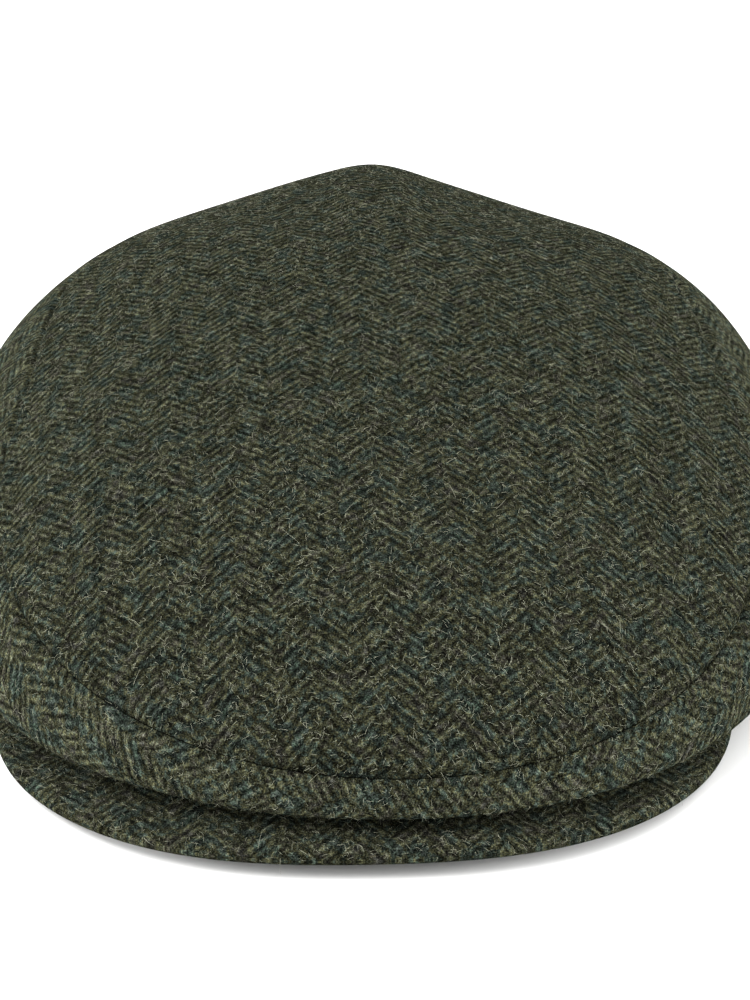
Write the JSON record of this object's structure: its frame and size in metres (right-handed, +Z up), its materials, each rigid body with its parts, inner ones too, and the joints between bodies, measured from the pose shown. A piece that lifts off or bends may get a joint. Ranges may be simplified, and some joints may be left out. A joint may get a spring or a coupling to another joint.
{
  "type": "flat cap",
  "caption": "Flat cap of herringbone wool tweed: a one-piece top panel, a side band turned under to an oval hem, and a stiff cloth-covered peak.",
  "frame": {"origin": "on the table, under the middle of the cap's outline", "axes": "+Z up from the table, -Y towards the peak, +X towards the wearer's left"},
  "size_m": [0.219, 0.2726, 0.0724],
  "materials": {
    "top_tweed": "brushed herringbone wool tweed, stripes running from front to back",
    "band_tweed": "brushed herringbone wool tweed, cut across the bias",
    "peak_tweed": "brushed herringbone wool tweed over a stiffener, stripes running from front to back"
  },
  "bodies": {
    "root": {"crown_top": "top_tweed", "side_band": "band_tweed", "peak": "peak_tweed"}
  },
  "joints": []
}
